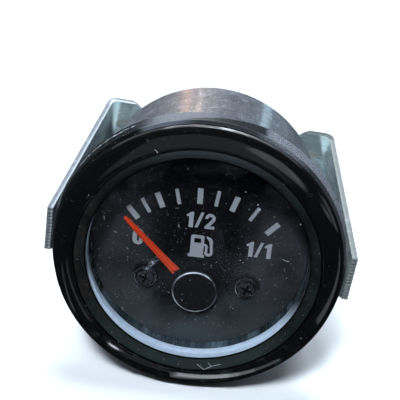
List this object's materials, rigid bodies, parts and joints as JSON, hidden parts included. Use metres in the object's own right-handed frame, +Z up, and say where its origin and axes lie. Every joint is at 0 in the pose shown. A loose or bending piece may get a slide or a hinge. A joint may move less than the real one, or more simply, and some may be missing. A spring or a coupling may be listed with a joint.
{
  "type": "panel fuel gauge",
  "caption": "Round 52 mm panel fuel gauge with a moving pointer, a rear U bracket clamped by knurled nuts on studs, flat blade terminals and a pull-out lamp holder.",
  "frame": {"origin": "on the gauge's axis in the plane of the panel's front face, which is the rear face of the case's flange", "axes": "+Y along the gauge's axis towards the rear, so the dial faces -Y; +X to the right seen from the front; +Z up"},
  "size_m": [0.0641, 0.0603, 0.0602],
  "materials": {
    "case_plastic": "satin, lightly scratched",
    "bezel_paint": "gloss black",
    "trim_plastic": "satin black",
    "seal_rubber": "matte",
    "lens_glass": "clear, polished",
    "white_plastic": "matte",
    "guide_plastic": "satin",
    "dial_black": "matte, dusty",
    "print_ink": "matte",
    "screw_black": "blackened",
    "pointer_red": "matte fluorescent",
    "hub_black": "satin",
    "spindle_steel": "ground",
    "magnet": "matte",
    "copper_wire": "enamelled",
    "bearing_brass": "turned",
    "can_steel": "drawn",
    "board": "matte",
    "resistor": "satin",
    "terminal_tin": "tinned",
    "stud_zinc": "zinc plated",
    "bracket_zinc": "zinc plated, dull, with bright cut edges",
    "nut_brass": "dull",
    "lamp_black": "matte",
    "bulb_glass": "clear"
  },
  "bodies": {
    "gauge": {"case": "case_plastic", "bezel": "bezel_paint", "bezel_seal": "seal_rubber", "front_trim_ring": "trim_plastic", "lens": "lens_glass", "diffuser_ring": "white_plastic", "light_guide": "guide_plastic", "dial_plate": "dial_black", "scale_marks": "print_ink", "dial_numerals": "print_ink", "pump_symbol": "print_ink", "dial_screws": "screw_black", "movement_plate": "white_plastic", "bobbin_front": "white_plastic", "bobbin_rear": "white_plastic", "coil_inner": "copper_wire", "coil_outer": "copper_wire", "front_bearing": "bearing_brass", "rear_bearing": "bearing_brass", "shield_can": "can_steel", "return_magnet": "magnet", "circuit_board": "board", "ballast_resistor": "resistor", "terminal_sender": "terminal_tin", "terminal_supply": "terminal_tin", "terminal_ground": "terminal_tin", "stud_left": "stud_zinc", "stud_right": "stud_zinc", "stud_nut_left": "stud_zinc", "stud_nut_right": "stud_zinc"},
    "pointer": {"pointer_blade": "pointer_red", "pointer_hub": "hub_black", "hub_cap": "hub_black", "pointer_spindle": "spindle_steel", "rotor_magnet": "magnet"},
    "bracket": {"mounting_bracket": "bracket_zinc", "plain_washer_left": "stud_zinc", "plain_washer_right": "stud_zinc", "spring_washer_left": "stud_zinc", "spring_washer_right": "stud_zinc"},
    "nut_left": {"knurled_nut_left": "nut_brass"},
    "nut_right": {"knurled_nut_right": "nut_brass"},
    "lamp": {"lamp_holder": "lamp_black", "lamp_contacts": "terminal_tin", "lamp_bulb": "bulb_glass"}
  },
  "joints": [
    {"name": "pointer_turn", "type": "hinge", "parent": "gauge", "child": "pointer", "pos_m": [0, 0, -0.0093], "axis": [0, 1, 0], "range_deg": [0, 92]},
    {"name": "bracket_travel", "type": "slide", "parent": "gauge", "child": "bracket", "axis": [0, 1, 0], "range_m": [-0.00035, 0.0098]},
    {"name": "nut_left_turn", "type": "hinge", "parent": "bracket", "child": "nut_left", "pos_m": [-0.016, 0.0385, 0], "axis": [0, 1, 0], "range_deg": [-181, 5041]},
    {"name": "nut_right_turn", "type": "hinge", "parent": "bracket", "child": "nut_right", "pos_m": [0.016, 0.0385, 0], "axis": [0, 1, 0], "range_deg": [-181, 5041]},
    {"name": "lamp_pull", "type": "slide", "parent": "gauge", "child": "lamp", "axis": [0, 1, 0], "range_m": [0, 0.024]}
  ],
  "couplings": [
    {"joint": "nut_left_turn", "follows": "bracket_travel", "rad_per_m": 8976},
    {"joint": "nut_right_turn", "follows": "bracket_travel", "rad_per_m": 8976}
  ]
}
